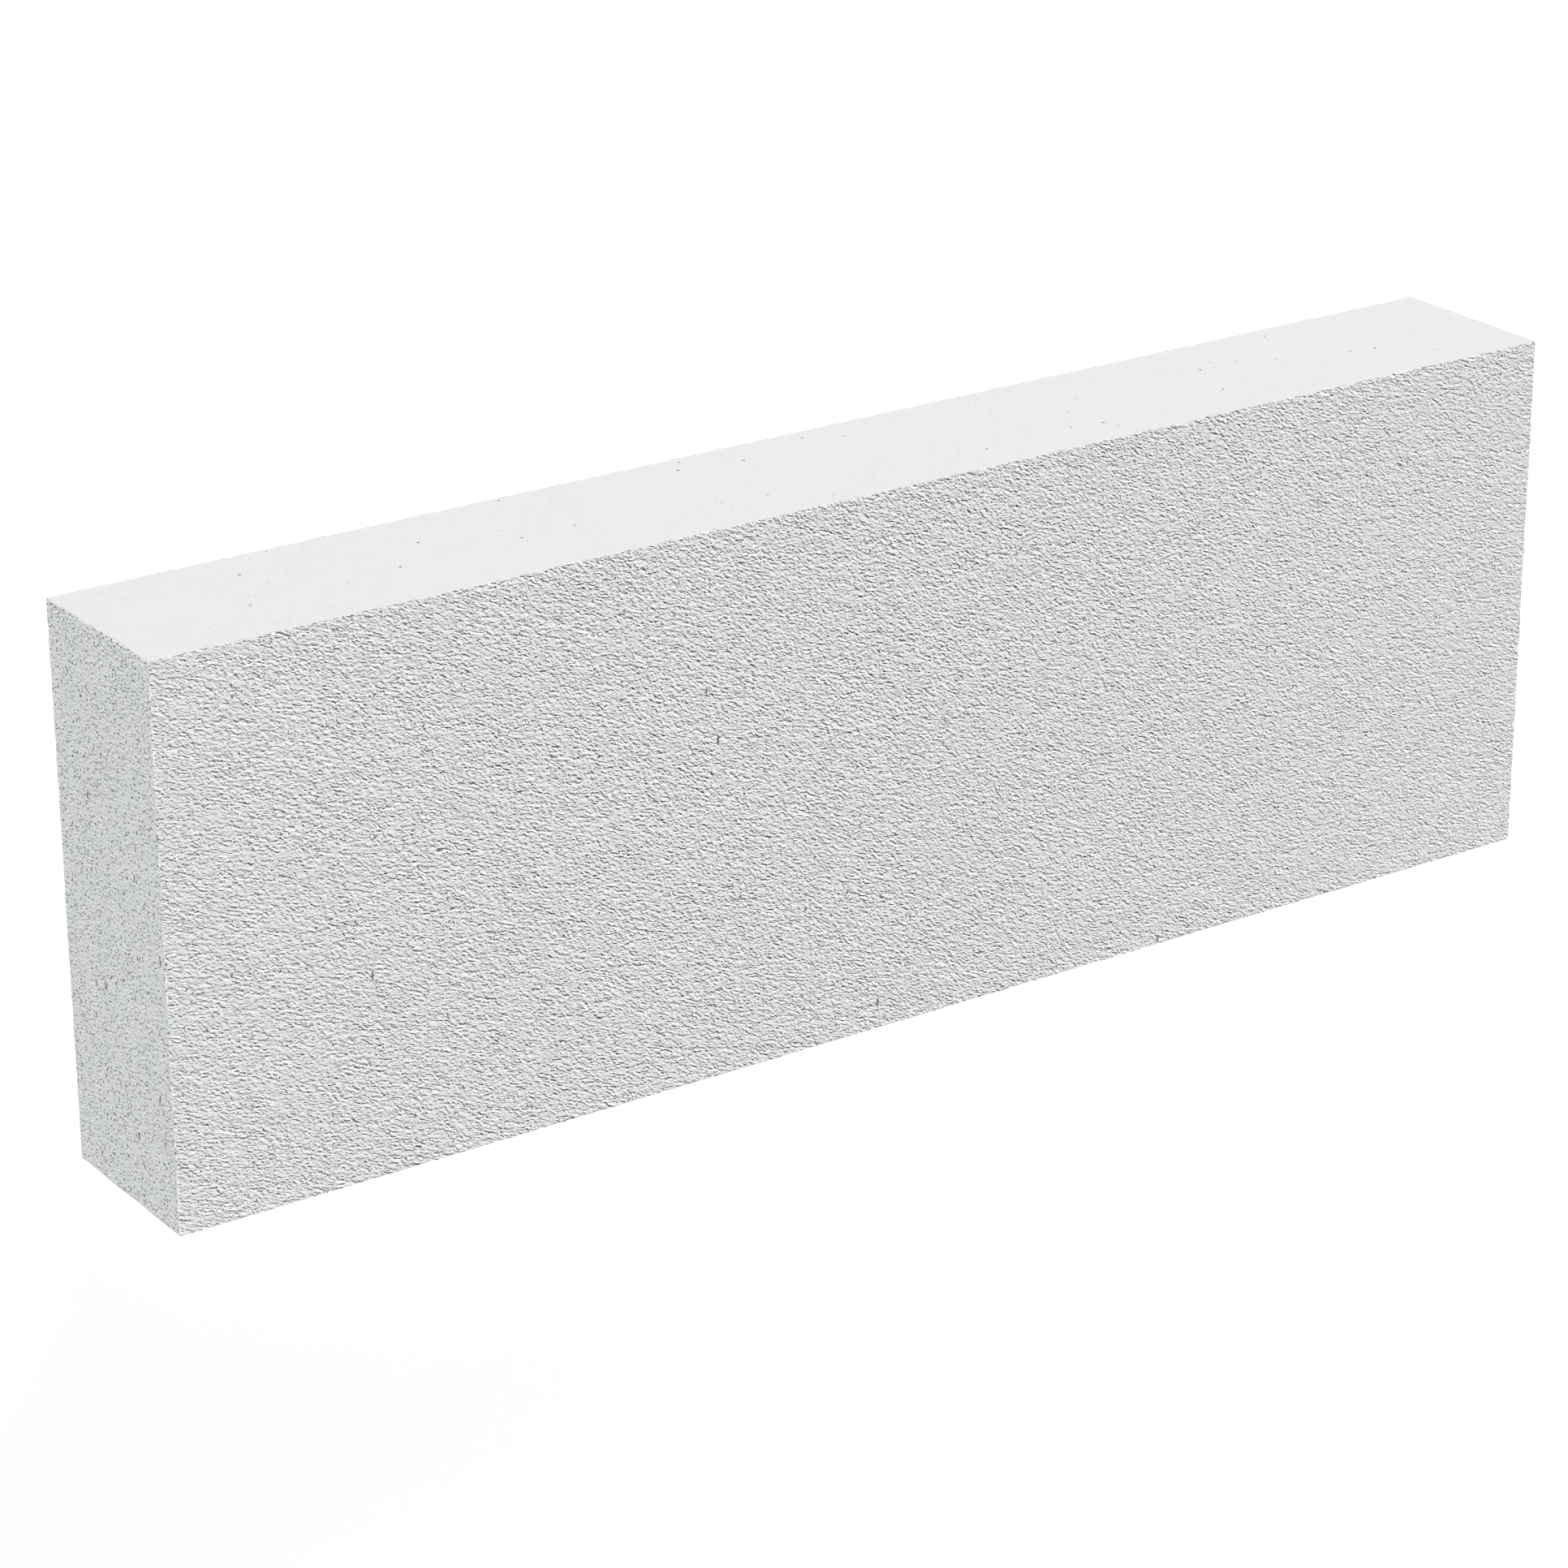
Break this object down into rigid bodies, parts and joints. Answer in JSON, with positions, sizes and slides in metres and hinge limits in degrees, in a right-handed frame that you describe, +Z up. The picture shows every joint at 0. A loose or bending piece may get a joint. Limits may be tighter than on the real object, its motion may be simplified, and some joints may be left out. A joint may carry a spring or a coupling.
{
  "type": "aerated concrete block",
  "caption": "Plain rectangular wall block of autoclaved aerated concrete: rippled wire-cut faces, finely pored ends and nearly sharp arrises.",
  "frame": {"origin": "centre of the bottom bed face, the long narrow face that the block stands on", "axes": "+X along the length, +Y through the thickness from the front face to the back face, +Z up"},
  "size_m": [0.62, 0.075, 0.215],
  "materials": {
    "aerated_concrete": "matt white-grey aerated concrete, rippled by the cutting wire on its wide faces and finely pored on its ends"
  },
  "bodies": {
    "root": {"aerated_concrete_block": "aerated_concrete"}
  },
  "joints": []
}
